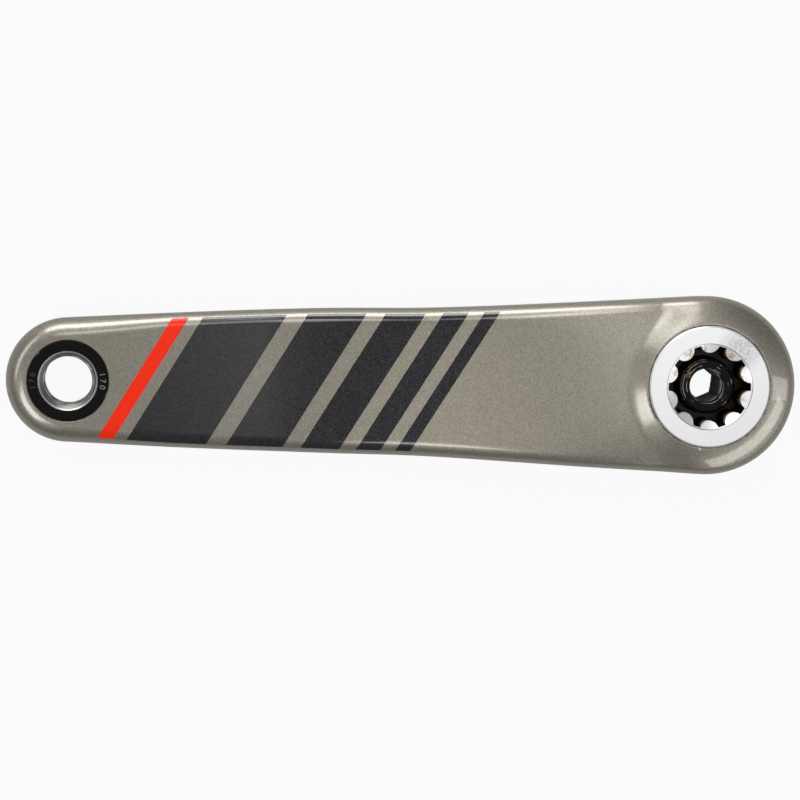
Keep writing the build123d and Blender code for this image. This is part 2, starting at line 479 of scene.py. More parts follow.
@dataclass(frozen=True)
class MachinedAlloy:
    """Bright turned aluminium with a dull scuff, old grease down in the spline, and painted shade at the
    mouth edge, in the gaps between the lobes and deep in the spline.
    """

    metal: Colour = srgb(242, 242, 243)
    dull: Colour = srgb(190, 192, 194)
    # Painted shade: a grey line along the mouth edge of the spline.
    mouth_edge_shade: Colour = srgb(104, 104, 106)
    thin_grease: Colour = srgb(188, 156, 88)
    amber: Colour = srgb(116, 66, 24)
    # Old grease and painted shade: black deep down the spline.
    grease_and_shade: Colour = srgb(14, 12, 10)
    scuff_mm: Triple = (7.9, 9.6, 7.4)
    smears_mm: Tuple[Triple, ...] = (
        (-5.0, 8.8, 2.8), (-1.8, 9.8, 1.6), (9.0, 2.0, 1.3), (9.0, -3.0, 1.3),
    )
    smear_top: float = -0.06 * MM
    mouth_edge_shade_mm: Pair = (11.36, 11.51)
    mouth_edge_shade_floor: float = -0.3 * MM
    bore: float = 12.3 * MM
    cloud_depth: float = 6.0 * MM
    face_edge: Pair = (-0.12 * MM, -0.02 * MM)
    thin_mm: Pair = (-2.1, -1.0)
    amber_mm: Pair = (-3.4, -1.9)
    grease_and_shade_mm: Pair = (-5.0, -3.0)
    # Painted shade in the gaps between the lobes, just under the mouth.
    gap_shade_mm: Pair = (-1.1, -0.5)
    gap_shade_inner: Pair = (10.35 * MM, 10.75 * MM)
    gap_shade_outer: float = 11.6 * MM

    def material(self) -> bpy.types.Material:
        """Make the metal.

        Returns:
            The material.
        """
        graph = Graph("machined_alloy")
        _, _, z = graph.axes()
        radius = graph.away()
        fine = graph.noise(0.5 * MM, 3.0, (1.0, 4.0, 1.0))
        scuff = graph.spot(self.scuff_mm) * graph.span(graph.noise(0.7 * MM, 4.0), 0.38, 0.66, 0.3, 1.0)
        depth = z + (graph.noise(2.4 * MM, 4.0) - 0.5) * self.cloud_depth
        bore = radius < self.bore
        smears: Level = 0.0
        for spot_mm in self.smears_mm:
            smears = graph.spot(spot_mm) | smears
        smears = smears * graph.span(graph.noise(0.8 * MM, 4.0, (1.0, 0.6, 1.0)), 0.44, 0.58)
        smears = smears * (z < self.smear_top)
        thin = bore * (graph.below(depth, self.thin_mm) | smears * 0.75)
        amber = bore * graph.below(depth, self.amber_mm)
        # Painted shade in the gaps between the lobes, just under the mouth.
        gap_shade = graph.span(radius, *self.gap_shade_inner) * (radius < self.gap_shade_outer) * graph.below(z, self.gap_shade_mm)
        # Black deep in the spline, as old grease and painted shade, joined with the gaps.
        grease_and_shade = bore * graph.below(depth, self.grease_and_shade_mm) | gap_shade
        # Painted shade along the mouth edge of the spline, on the face only.
        mouth_edge_shade = graph.stripes(radius, (self.mouth_edge_shade_mm,)) * (z > self.mouth_edge_shade_floor)
        colour: Paint = self.metal
        for share, layer in (
            (scuff * 0.75, self.dull), (graph.span(fine, 0.52, 0.75) * 0.18, self.dull), (mouth_edge_shade, self.mouth_edge_shade),
            (thin, self.thin_grease), (amber, self.amber), (grease_and_shade, self.grease_and_shade),
        ):
            colour = graph.mix(share, colour, layer)
        graph.set(
            base_color=colour,
            metallic=1.0 - ((thin | amber) * 0.7 | grease_and_shade),
            roughness=graph.span(z, *self.face_edge, 0.42, 0.24) + scuff * 0.22 + fine * 0.14,
            specular_ior_level=0.5 - grease_and_shade * 0.35,
            normal=graph.bump(fine, 0.002 * MM, 0.2),
        )
        return graph.material


@dataclass(frozen=True)
class BlackedMetal:
    """Black finished metal, cut back to bright metal inside one radius, with painted shade and fine painted
    rings over the thread inside a smaller one.
    """

    name: str
    black: Colour = srgb(9, 9, 8)
    worn: Colour = srgb(34, 33, 31)
    bright: Colour = srgb(222, 222, 220)
    # Painted shade over the thread inside the bore.
    thread_shade_grey: Colour = srgb(148, 147, 143)
    roughness: float = 0.36
    metallic: float = 0.3
    bright_axis_x: float = 0.0
    bright_inside: float = 0.0
    thread_inside: float = 0.0
    thread_soft: float = 0.06 * MM
    # Pitch of fine painted rings of light and shade over the thread.
    thread_ring_pitch: float = 0.34 * MM

    def material(self) -> bpy.types.Material:
        """Make the metal.

        Returns:
            The material.
        """
        graph = Graph(self.name)
        fine = graph.noise(0.6 * MM, 4.0)
        colour = graph.mix(graph.span(fine, 0.5, 0.8) * 0.3, self.black, self.worn)
        metallic: Level = self.metallic
        if self.bright_inside:
            radius = graph.away(self.bright_axis_x)
            bare = radius < self.bright_inside
            low, high = self.thread_inside - self.thread_soft, self.thread_inside + self.thread_soft
            deep = graph.span(radius, low, high, 1.0, 0.0)
            # Painted light and shade: fine rings over the thread, standing in for its ridges.
            painted_thread_rings = graph.math("SINE", radius * (2.0 * math.pi / self.thread_ring_pitch))
            silver = graph.shaded(graph.mix(deep, self.bright, self.thread_shade_grey), painted_thread_rings * deep * 0.6 + 1.0)
            colour = graph.mix(bare, colour, silver)
            metallic = bare * (1.0 - self.metallic) + self.metallic
        graph.set(
            base_color=colour,
            metallic=metallic,
            roughness=fine * 0.16 + self.roughness,
            specular_ior_level=0.18,
            normal=graph.bump(fine, 0.01 * MM, 0.25),
        )
        return graph.material


@dataclass(frozen=True)
class GreasedBlack:
    """Black oxide steel with painted glints on its turned edges, painted lighter hex walls, and a smear of
    old grease.
    """

    black: Colour = srgb(15, 14, 13)
    worn: Colour = srgb(40, 38, 36)
    # Painted light and shade: the hex walls lighter grey than the black round mouth.
    bore: Colour = srgb(84, 84, 80)
    # Painted glints on the turned edges and on the hexagon's lead-in.
    painted_glint: Colour = srgb(164, 162, 156)
    smear: Colour = srgb(128, 96, 62)
    glint_radii_mm: Tuple[float, ...] = (7.05, 6.55, 5.6, 4.75)
    glint_half_mm: float = 0.07
    glint_floor: float = -6.7 * MM
    glint_side: Pair = (-5.6 * MM, -4.2 * MM)
    smear_mm: Triple = (-5.3, 3.2, 1.5)
    mouth: float = 4.9 * MM
    mouth_soft: Pair = (4.6 * MM, 5.0 * MM)
    lead_in_glint_mm: Pair = (-8.56, -8.4)
    lead_in_glint_side: Pair = (0.0, 3.0 * MM)
    hexagon_mm: Pair = (4.52, 4.66)

    def material(self) -> bpy.types.Material:
        """Make the metal.

        Returns:
            The material.
        """
        graph = Graph("black_oxide")
        x, y, z = graph.axes()
        radius = graph.away()
        fine = graph.noise(0.6 * MM, 4.0)
        # Painted glints: thin bright rings on the turned edges, on one side only, and a bright line on the
        # lead-in.
        half = self.glint_half_mm
        painted_glint = graph.stripes(radius, [(edge - half, edge + half) for edge in self.glint_radii_mm])
        painted_glint = painted_glint * graph.span(graph.noise(3.2 * MM, 2.0), 0.46, 0.58)
        painted_glint = painted_glint * (z > self.glint_floor) * graph.span(y, *self.glint_side)
        lead_in = graph.stripes(z, (self.lead_in_glint_mm,)) * (radius < self.mouth)
        painted_glint = painted_glint | lead_in * graph.span(x, *self.lead_in_glint_side)
        colour = graph.mix(graph.span(fine, 0.5, 0.8) * 0.3, self.black, self.worn)
        # Painted light and shade: hex walls lighter grey, the round mouth left black.
        colour = graph.mix(graph.below(radius, self.hexagon_mm), colour, self.bore)
        colour = graph.mix(painted_glint, colour, self.painted_glint)
        colour = graph.mix(graph.spot(self.smear_mm) * graph.span(fine, 0.42, 0.56), colour, self.smear)
        graph.set(
            base_color=colour,
            metallic=painted_glint * 0.6,
            roughness=graph.span(radius, *self.mouth_soft, 0.5, 0.26) + fine * 0.16,
            specular_ior_level=0.08,
            normal=graph.bump(fine, 0.01 * MM, 0.25),
        )
        return graph.material


@dataclass(frozen=True)
class RubbedInk:
    """Pale printed figures, more rubbed away towards one end of the arm."""

    axis_x: float
    clear: Colour = srgb(178, 176, 171)
    faint: Colour = srgb(84, 82, 78)
    fade_mm: Pair = (-5.0, 5.0)

    def material(self) -> bpy.types.Material:
        """Make the ink.

        Returns:
            The material.
        """
        graph = Graph("figure_ink")
        x, _, _ = graph.axes()
        share = graph.below(x - self.axis_x, self.fade_mm)
        share = share + graph.span(graph.noise(0.5 * MM), 0.35, 0.65, 0.0, 0.35)
        colour = graph.mix(share, self.clear, self.faint)
        graph.set(base_color=colour, roughness=0.45, specular_ior_level=0.25)
        return graph.material


@dataclass(frozen=True)
class PlainFinish:
    """Even finish with fine grain, for the small rings."""

    name: str
    colour: Colour
    metallic: float
    roughness: float

    def material(self) -> bpy.types.Material:
        """Make the finish.

        Returns:
            The material.
        """
        graph = Graph(self.name)
        grain = graph.noise(0.4 * MM, 4.0)
        graph.set(
            base_color=graph.shaded(self.colour, graph.span(grain, 0.3, 0.7, 0.86, 1.08)),
            metallic=self.metallic,
            roughness=grain * 0.12 + self.roughness,
            normal=graph.bump(grain, 0.008 * MM, 0.2),
        )
        return graph.material


@dataclass
class ArmShell:
    """Moulded arm: tapered plan, crowned inboard face, blended boss, rounded and bevelled edges."""

    crank_length: float = 170.0
    pedal_end_radius: float = 16.98
    spindle_end_radius: float = 23.93
    pedal_flare_deg: float = 2.8
    spindle_flare_deg: float = 3.2
    side_handle: float = 123.0
    draft: float = math.tan(math.radians(2.0))
    pedal_face_depth: float = 20.0
    pedal_flat_end: float = -118.0
    crest_distance: float = 12.0
    crest_depth: float = 1.8
    crest_radius: float = 90.0
    crown_start: float = 62.0
    crown_drop: float = 2.489
    outboard_depth: float = 24.0
    pedal_outboard_depth: float = 33.0
    outboard_flat_end: float = -24.0
    pedal_sole_end: float = -153.0
    rim_depth: float = 3.839
    boss_step: float = 0.4
    boss_top_radius: float = 16.7
    boss_edge_radius: float = 1.0
    flank_start: float = math.radians(15.5)
    arm_flank_start: float = math.radians(24.0)
    flank_radius: float = 21.0
    flank_steepest: float = 0.95
    flank_runout: float = 3.0
    arm_side: Pair = (0.1, 0.8)
    boss_blend: float = 1.6
    rim_radius: float = 4.2
    pedal_rim_radius: float = 5.6
    pedal_rim_start: float = -140.0
    pedal_rim_run: float = 30.0
    bevel: float = 3.0
    bevel_soft: float = 0.3
    spindle_seat: float = 16.18
    rear_seat: float = 14.65
    seat_depth: float = 12.55
    pedal_seat: float = 10.85
    seat_break: float = 0.25
    end_columns: Tuple[int, int] = (180, 120)
    side_runs: Tuple[Tuple[float, float, int], ...] = (
        (-1.4, -26.0, 67), (-26.0, -42.0, 46), (-42.0, -150.0, 136), (-150.0, -170.7, 53),
    )
    face_rows: int = 36
    rim_rows: int = 12
    wall_rows: int = 8
    sole_rows: int = 14
    passes: int = 30
    rim_passes: int = 40
    rim_reach: float = 9.0
    slope_step: float = 0.02
    fine_steps: int = 4001
    sharp_deg: float = 40.0
    marks: np.ndarray = field(init=False, repr=False)
    side_param: np.ndarray = field(init=False, repr=False)

    def __post_init__(self) -> None:
        """Lay out the columns along both sides."""
        self.marks = np.concatenate([np.linspace(*run)[1:] for run in self.side_runs])[:-1]
        fine = np.linspace(0.0, 1.0, self.fine_steps)
        along = self.side(fine, self.pedal_face_depth)[0][:, 0]
        self.side_param = np.interp(self.marks, along, fine)

    def side(self, share: np.ndarray, depth: Sizes) -> Tuple[np.ndarray, np.ndarray]:
        """Upper side of the outline.

        Args:
            share: Curve parameter, 0 at the pedal and 1 at the spindle.
            depth: Depth below the bearing face.

        Returns:
            Places and inward normals in plan.
        """
        flare_p, flare_s = math.radians(self.pedal_flare_deg), math.radians(self.spindle_flare_deg)
        pedal_r, spindle_r = (np.broadcast_to(end, share.shape)[:, None] for end in self.end_radii(depth))
        axis = np.array([-self.crank_length, 0.0])
        first = axis + pedal_r * np.array([-math.sin(flare_p), math.cos(flare_p)])
        last = spindle_r * np.array([-math.sin(flare_s), math.cos(flare_s)])
        second = first + self.side_handle * np.array([math.cos(flare_p), math.sin(flare_p)])
        third = last - self.side_handle * np.array([math.cos(flare_s), math.sin(flare_s)])
        late, early = share[:, None], 1.0 - share[:, None]
        place = early ** 3 * first + 3.0 * late * early ** 2 * second
        place = place + 3.0 * late ** 2 * early * third + late ** 3 * last
        slope = early ** 2 * (second - first) + 2.0 * late * early * (third - second)
        slope = slope + late ** 2 * (last - third)
        slope = slope / np.linalg.norm(slope, axis=1, keepdims=True)
        return place, np.stack([slope[:, 1], -slope[:, 0]], axis=1)

    def end_radii(self, depth: Sizes) -> Tuple[Sizes, Sizes]:
        """Radii of the pedal and spindle ends at one depth."""
        return (
            self.pedal_end_radius + (self.pedal_face_depth - depth) * self.draft,
            self.spindle_end_radius + (self.rim_depth - depth) * self.draft,
        )

    def end_turns(self) -> Tuple[np.ndarray, np.ndarray]:
        """Azimuths of the columns on the spindle and pedal end arcs."""
        spindle_end = math.radians(90.0 + self.spindle_flare_deg)
        pedal_start = math.radians(90.0 + self.pedal_flare_deg)
        return (
            np.linspace(-spindle_end, spindle_end, self.end_columns[0] + 1),
            np.linspace(pedal_start, 2.0 * math.pi - pedal_start, self.end_columns[1] + 1),
        )

    def outline(self, depth: np.ndarray) -> Tuple[np.ndarray, np.ndarray]:
        """Closed outline, one column each, starting at the lower end of the spindle arc.

        Args:
            depth: Depth of each column.

        Returns:
            Places and inward normals in plan.
        """
        spindle_turn, pedal_turn = self.end_turns()
        cuts = np.cumsum([len(spindle_turn), len(self.marks), len(pedal_turn)])
        spindle_d, upper_d, pedal_d, lower_d = np.split(depth, cuts)
        spindle = polar(spindle_turn, self.end_radii(spindle_d)[1])
        pedal = polar(pedal_turn, self.end_radii(pedal_d)[0], -self.crank_length)
        upper, upper_in = self.side(self.side_param, upper_d)
        lower, lower_in = self.side(self.side_param[::-1], lower_d)
        spindle_in, pedal_in = -polar(spindle_turn, 1.0), -polar(pedal_turn, 1.0)
        return (
            np.concatenate([spindle, upper, pedal, lower * MIRROR]),
            np.concatenate([spindle_in, upper_in, pedal_in, lower_in * MIRROR]),
        )

    def inner_loop(self, spindle_r: float, pedal_r: float) -> np.ndarray:
        """Loop round both seats and along the middle line between them.

        Args:
            spindle_r: Radius round the spindle seat.
            pedal_r: Radius round the pedal seat.

        Returns:
            Places in plan, one for each column.
        """
        spindle_turn, pedal_turn = self.end_turns()
        start, near_join, _ = self.side_runs[0]
        far_join, end, _ = self.side_runs[-1]
        turn = np.interp(self.marks, [near_join, start], [np.pi, spindle_turn[-1]])
        near = polar(turn, spindle_r)
        back = np.interp(self.marks, [end, far_join], [pedal_turn[0], 0.0])
        far = polar(back, pedal_r, -self.crank_length)
        slit = np.interp(self.marks, [far_join, near_join], [pedal_r - self.crank_length, -spindle_r])
        upper = np.stack([slit, np.zeros_like(slit)], axis=1)
        upper = np.where((self.marks > near_join)[:, None], near, upper)
        upper = np.where((self.marks < far_join)[:, None], far, upper)
        pedal = polar(pedal_turn, pedal_r, -self.crank_length)
        return np.concatenate([polar(spindle_turn, spindle_r), upper, pedal, upper[::-1] * MIRROR])

    def top(self, spot: np.ndarray) -> np.ndarray:
        """Height of the inboard face, with the boss blended into it."""
        x, y = spot.T
        run = self.pedal_flat_end + self.crest_distance
        climb = ease((x - self.pedal_flat_end) / -run)
        depth = self.pedal_face_depth + (self.crest_depth - self.pedal_face_depth) * climb
        depth = depth + np.maximum(x + self.crest_distance, 0.0) ** 2 / (2.0 * self.crest_radius)
        crown = self.crown_drop * ease((x + self.crown_start) / (self.crown_start - self.crest_distance))
        deck = -(depth + crown * np.abs(y / self.spindle_end_radius) ** 3)
        boss = self.boss_profile(np.hypot(x, y), x)
        lift = np.clip(1.0 - np.abs(deck - boss) / self.boss_blend, 0.0, 1.0)
        return np.maximum(deck, boss) + lift * lift * self.boss_blend * 0.25

    def boss_profile(self, radius: np.ndarray, x: np.ndarray) -> np.ndarray:
        """Height of the boss: flat top, small rounded edge and a flank that steepens outwards.

        Args:
            radius: Distance from the spindle axis.
            x: Place along the arm; the flank starts steeper on the arm's side.

        Returns:
            The height.
        """
        bend = self.boss_edge_radius
        low, high = self.arm_side
        arm_side = ease((-x / radius - low) / (high - low))
        tilt = self.flank_start + (self.arm_flank_start - self.flank_start) * arm_side
        start = self.boss_top_radius - bend * np.tan(tilt / 2.0)
        over = np.clip(radius - start, 0.0, bend * np.sin(tilt))
        edge = -self.boss_step - bend + np.sqrt(bend * bend - over * over)
        past = np.maximum(radius - start - bend * np.sin(tilt), 0.0)
        lean = np.minimum(np.sin(tilt) + past / self.flank_radius, self.flank_steepest)
        beyond = np.maximum(past - self.flank_radius * (self.flank_steepest - np.sin(tilt)), 0.0)
        fall = self.flank_radius * (np.cos(tilt) - np.sqrt(1.0 - lean * lean))
        return edge - fall - self.flank_runout * beyond

    def sole(self, spot: np.ndarray) -> np.ndarray:
        """Height of the outboard face."""
        climb = ease((spot[:, 0] - self.pedal_sole_end) / (self.outboard_flat_end - self.pedal_sole_end))
        return -(self.pedal_outboard_depth + (self.outboard_depth - self.pedal_outboard_depth) * climb)

    def rim(self) -> Tuple[np.ndarray, np.ndarray, np.ndarray]:
        """Rounded inboard edge, as an arc between the wall and the inboard face.

        Returns:
            Rows of places from the face to the wall, the plan places where the arc leaves the
            face, and the depth where it meets the wall.
        """
        depth = np.full(len(self.inner_loop(1.0, 1.0)), self.pedal_face_depth)
        for _ in range(self.passes):
            depth = 0.5 * (depth - self.top(self.outline(depth)[0]))
        place, inward = self.outline(depth)
        round_share = ease((self.pedal_rim_start - place[:, 0]) / self.pedal_rim_run)
        round_r = self.rim_radius + (self.pedal_rim_radius - self.rim_radius) * round_share
        wall_tilt = math.atan(self.draft)

        def ball(run: np.ndarray) -> Tuple[np.ndarray, np.ndarray, np.ndarray]:
            """Centre of the ball that touches the face at a distance in from the wall, and the slope."""
            step = self.slope_step
            at = (place + inward * (run + shift)[:, None] for shift in (-step, 0.0, step))
            before, height, after = (self.top(spot) for spot in at)
            slope = (after - before) / (2.0 * step)
            size = np.sqrt(1.0 + slope * slope)
            return run + round_r * slope / size, height - round_r / size, slope

        low, high = np.zeros_like(depth), np.full_like(depth, self.rim_reach)
        for _ in range(self.rim_passes):
            middle = 0.5 * (low + high)
            centre, level, _ = ball(middle)
            inside = centre * math.cos(wall_tilt) + (level + depth) * math.sin(wall_tilt) > round_r
            high, low = np.where(inside, middle, high), np.where(inside, low, middle)
        centre, level, slope = ball(low)
        start, end = np.arctan2(1.0, -slope), math.pi + wall_tilt
        rows = []
        for share in np.linspace(0.0, 1.0, self.rim_rows + 1):
            angle = start + (end - start) * share
            run = centre + round_r * np.cos(angle)
            rows.append(np.column_stack([place + inward * run[:, None], level + round_r * np.sin(angle)]))
        return np.array(rows), rows[0][:, :2], -rows[-1][:, 2]

    def shell_rows(self) -> Tuple[np.ndarray, np.ndarray]:
        """All rows of the outer shell, from the inner loop inboard to the inner loop outboard.

        Returns:
            Places by row, column and axis, and for each row how far round the rim it lies.
        """
        rim, edge, wall_top = self.rim()
        loop = self.inner_loop(self.spindle_seat + self.seat_break, self.pedal_seat + self.seat_break)
        rows = []
        for share in np.linspace(0.0, 1.0, self.face_rows + 1)[:-1]:
            spot = loop + (edge - loop) * share
            rows.append(np.column_stack([spot, self.top(spot)]))
        zone = [0.0] * len(rows) + list(np.linspace(0.0, 1.0, self.rim_rows + 1))
        rows.extend(rim)
        foot = np.full(len(loop), self.pedal_outboard_depth)
        for _ in range(self.passes):
            foot = -self.sole(self.outline(foot)[0])
        place, inward = self.outline(foot)
        wall_foot = foot - self.bevel - self.bevel_soft
        for share in np.linspace(0.0, 1.0, self.wall_rows + 1)[1:]:
            depth = wall_top + (wall_foot - wall_top) * share
            rows.append(np.column_stack([self.outline(depth)[0], -depth]))
        upper = np.column_stack([self.outline(foot - self.bevel)[0], self.bevel - foot])
        inner, further = (place + inward * run for run in (self.bevel, self.bevel + self.bevel_soft))
        lower = np.column_stack([inner, self.sole(inner)])
        flat = np.column_stack([further, self.sole(further)])
        soft = self.bevel_soft / (self.bevel * math.sqrt(2.0))
        first, last = upper + (lower - upper) * soft, lower + (upper - lower) * soft
        rows.append(0.5 * upper + 0.25 * (rows[-1] + first))
        rows.extend([first, 0.5 * (first + last), last, 0.5 * lower + 0.25 * (last + flat), flat])
        loop = self.inner_loop(self.rear_seat + self.seat_break, self.pedal_seat + self.seat_break)
        for share in np.linspace(0.0, 1.0, self.sole_rows + 1)[1:]:
            spot = further + (loop - further) * share
            rows.append(np.column_stack([spot, self.sole(spot)]))
        zone.extend([2.0] * (len(rows) - len(zone)))
        stacked = np.array(rows)
        return np.concatenate([stacked, stacked[:, :1]], axis=1), np.array(zone)

    def seat_turns(self, axis_x: float) -> np.ndarray:
        """Azimuths of the columns round one seat, in order and closed."""
        loop = self.inner_loop(1.0, 1.0) - np.array([axis_x, 0.0])
        loop = loop[np.abs(np.hypot(*loop.T) - 1.0) < 1e-6]
        turn = np.sort(np.arctan2(loop[:, 1], loop[:, 0]))
        turn = turn[np.concatenate([[True], np.diff(turn) > 1e-6])]
        return np.append(turn, turn[0])

    def build(self) -> bpy.types.Object:
        """Make the shell with both seats.

        Returns:
            The arm, with the share of the rim stored on its corners.
        """
        bm = bmesh.new()
        bm.verts.layers.float.new("rim")
        skin(bm, *self.shell_rows())
        front, rear, pedal, away = self.spindle_seat, self.rear_seat, self.pedal_seat, self.seat_break
        skin(bm, lathe((
            (front + away, -self.boss_step), (front, -self.boss_step - away),
            (front, -self.seat_depth), (rear, -self.seat_depth),
            (rear, away - self.outboard_depth), (rear + away, -self.outboard_depth),
        ), self.seat_turns(0.0)))
        skin(bm, lathe((
            (pedal + away, -self.pedal_face_depth), (pedal, -self.pedal_face_depth - away),
            (pedal, away - self.pedal_outboard_depth), (pedal + away, -self.pedal_outboard_depth),
        ), self.seat_turns(-self.crank_length), -self.crank_length))
        close_up(bm)
        return to_object(bm, "arm_shell", self.sharp_deg)

    def dress(self, piece: bpy.types.Object) -> None:
        """Paint the shell and hang it on the arm."""
        settle(piece, Body.ARM, Slot.PAINT, FlakePaint().material(), "arm_body")


@dataclass(frozen=True)
class CadCopy:
    """Piece that follows its CAD form, welded and shaded smooth."""

    node: str
    name: str
    slot: Slot
    finish: Union[MachinedAlloy, BlackedMetal, PlainFinish]
    sharp_deg: float = 30.0

    def build(self) -> bpy.types.Object:
        """Copy the CAD form as a welded mesh.

        Returns:
            The copy.
        """
        bm = bmesh.new()
        bm.from_mesh(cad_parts[self.node].data)
        bmesh.ops.remove_doubles(bm, verts=bm.verts, dist=CAD_WELD)
        return to_object(bm, self.name, self.sharp_deg)

    def dress(self, piece: bpy.types.Object) -> None:
        """Give the copy its finish and hang it on the arm."""
        settle(piece, Body.ARM, self.slot, self.finish.material(), self.node)


@dataclass
class PedalBush:
    """Flush bush with a left-hand thread, a bright lead-in and plain size figures."""

    axis_x: float = -170.0
    face: float = -20.0
    back: float = -33.0
    radius: float = 10.8
    edge_break: float = 0.2
    crest: float = 6.5
    root: float = 7.15
    lead_in: float = 1.45
    pitch: float = 1.27
    hand: Hand = Hand.LEFT
    flank: float = 2.7
    segments: int = 160
    steps_per_pitch: int = 10
    bright_inside: float = 7.98
    thread_inside: float = 7.55
    figures: str = "170"
    figure_height: float = 1.55
    figure_share: float = 0.7
    figure_thin: float = 0.035
    figure_radius: float = 9.35
    figure_step_deg: float = 10.5
    figure_thick: float = 0.03
    figure_lift: float = 0.009
    sharp_deg: float = 35.0
    figure_sharp_deg: float = 30.0

    def build(self) -> bpy.types.Object:
        """Turn the bush with its thread.

        Returns:
            The bush.
        """
        share = np.linspace(0.0, 1.0, self.segments + 1)
        mouth, edge = self.crest + self.lead_in, self.radius - self.edge_break
        rings: List[Ring] = [
            (mouth, self.face), (edge, self.face), (self.radius, self.face - self.edge_break),
            (self.radius, self.back + self.edge_break), (edge, self.back), (mouth, self.back),
        ]
        count = round((self.face - self.back) / self.pitch * self.steps_per_pitch)
        for height in np.linspace(self.back, self.face, count + 1)[1:]:
            cut = groove(height / self.pitch, share, self.hand, self.flank)
            lead = mouth - min(self.face - height, height - self.back)
            rings.append((np.maximum(self.crest + (self.root - self.crest) * cut, lead), height))
        bm = bmesh.new()
        skin(bm, lathe(rings, 2.0 * np.pi * share, self.axis_x))
        close_up(bm)
        return to_object(bm, "pedal_bush", self.sharp_deg)

    def build_figures(self) -> bpy.types.Object:
        """Lay the size figures on the flange, on both sides of the bore.

        Returns:
            One mesh of all figures.
        """
        bm = bmesh.new()
        for side in (0.0, 180.0):
            for index, figure in enumerate(self.figures):
                azimuth = side + self.figure_step_deg * ((len(self.figures) - 1) / 2.0 - index)
                self.add_figure(bm, figure, azimuth)
        return to_object(bm, "pedal_bush_figures", self.figure_sharp_deg)

    def add_figure(self, bm: bmesh.types.BMesh, figure: str, azimuth_deg: float) -> None:
        """Set one figure on the flange, its foot towards the bore.

        Args:
            bm: Mesh that takes the figure.
            figure: The figure.
            azimuth_deg: Where it stands round the bore.
        """
        curve = bpy.data.curves.new("figure", "FONT")
        curve.body = figure
        curve.align_x = "CENTER"
        curve.align_y = "CENTER"
        curve.size = self.figure_height * MM / self.figure_share
        curve.offset = -self.figure_thin * MM
        curve.extrude = 0.5 * self.figure_thick * MM
        holder = bpy.data.objects.new("figure", curve)
        mesh = bpy.data.meshes.new_from_object(holder)
        place = Matrix.Translation((self.axis_x * MM, 0.0, (self.face + self.figure_lift) * MM))
        place @= Matrix.Rotation(math.radians(azimuth_deg - 90.0), 4, "Z")
        place @= Matrix.Translation((0.0, self.figure_radius * MM, 0.0))
        mesh.transform(place)
        bm.from_mesh(mesh)
        bpy.data.objects.remove(holder)
        bpy.data.curves.remove(curve)
        bpy.data.meshes.remove(mesh)

    def dress(self, piece: bpy.types.Object, figures: bpy.types.Object) -> None:
        """Black the flange, brighten the bore with painted shade and painted rings over its thread, and
        print the figures.
        """
        finish = BlackedMetal(
            "black_flange", bright_axis_x=self.axis_x * MM, bright_inside=self.bright_inside * MM,
            thread_inside=self.thread_inside * MM,
        )
        settle(piece, Body.ARM, Slot.PEDAL, finish.material(), "pedal_insert")
        settle(figures, Body.ARM, Slot.PEDAL, RubbedInk(self.axis_x * MM).material())


@dataclass
class HollowBolt:
    """Captive bolt: threaded shank, flange, hub and a hexagon right through."""

    thread: float = 7.5
    thread_depth: float = 0.62
    pitch: float = 1.0
    hand: Hand = Hand.RIGHT
    flank: float = 2.6
    end: float = -4.0
    end_chamfer: float = 0.8
    neck_top: float = -11.8
    neck: float = 6.8
    flange_top: float = -13.3
    flange_back: float = -16.9
    flange: float = 11.6
    hub: float = 6.6
    hub_end: float = -22.3
    edge_break: float = 0.3
    hex_width: float = 8.0
    hex_turn_deg: float = 22.2
    hex_middle: float = -14.0
    mouth: float = 4.7
    mouth_break: float = 0.25
    mouth_end: float = -8.4
    lead_in: float = 0.6
    lead_in_radius: float = 4.2
    segments: int = 180
    steps_per_pitch: int = 9
    sharp_deg: float = 28.0

    def build(self) -> bpy.types.Object:
        """Turn the bolt.

        Returns:
            The bolt.
        """
        share = np.linspace(0.0, 1.0, self.segments + 1)
        turn = 2.0 * np.pi * share
        hexagon = 0.5 * self.hex_width / np.cos((turn % (np.pi / 3.0)) - np.pi / 6.0)
        lead, half_lead = np.maximum(hexagon, self.lead_in_radius), 0.5 * self.lead_in
        tip, lip, away = self.thread - self.end_chamfer, self.mouth + self.mouth_break, self.edge_break
        rings: List[Ring] = [(lip, self.end), (tip, self.end)]
        count = round((self.end - self.neck_top) / self.pitch * self.steps_per_pitch)
        for height in np.linspace(self.end, self.neck_top, count + 1)[1:]:
            cut = groove(height / self.pitch, share, self.hand, self.flank)
            thread = self.thread - self.thread_depth * cut
            rings.append((np.minimum(thread, tip + self.end - height), height))
        rings += [
            (self.neck, self.neck_top), (self.neck, self.flange_top), (self.flange - away, self.flange_top),
            (self.flange, self.flange_top - away), (self.flange, self.flange_back + away),
            (self.flange - away, self.flange_back), (self.hub, self.flange_back),
            (self.hub, self.hub_end + away), (self.hub - away, self.hub_end),
            (self.mouth, self.hub_end), (lead, self.hub_end + half_lead),
            (hexagon, self.hub_end + self.lead_in), (hexagon, self.hex_middle),
            (hexagon, self.mouth_end - self.lead_in),
            (lead, self.mouth_end - half_lead), (self.mouth, self.mouth_end),
            (self.mouth, self.end - self.mouth_break), (lip, self.end),
        ]
        bm = bmesh.new()
        skin(bm, lathe(rings, np.radians(self.hex_turn_deg) + turn))
        close_up(bm)
        return to_object(bm, "hollow_bolt", self.sharp_deg)

    def dress(self, piece: bpy.types.Object) -> None:
        """Give the bolt its greased black finish."""
        settle(piece, Body.BOLT, Slot.BOLT, GreasedBlack().material(), "crank_bolt")


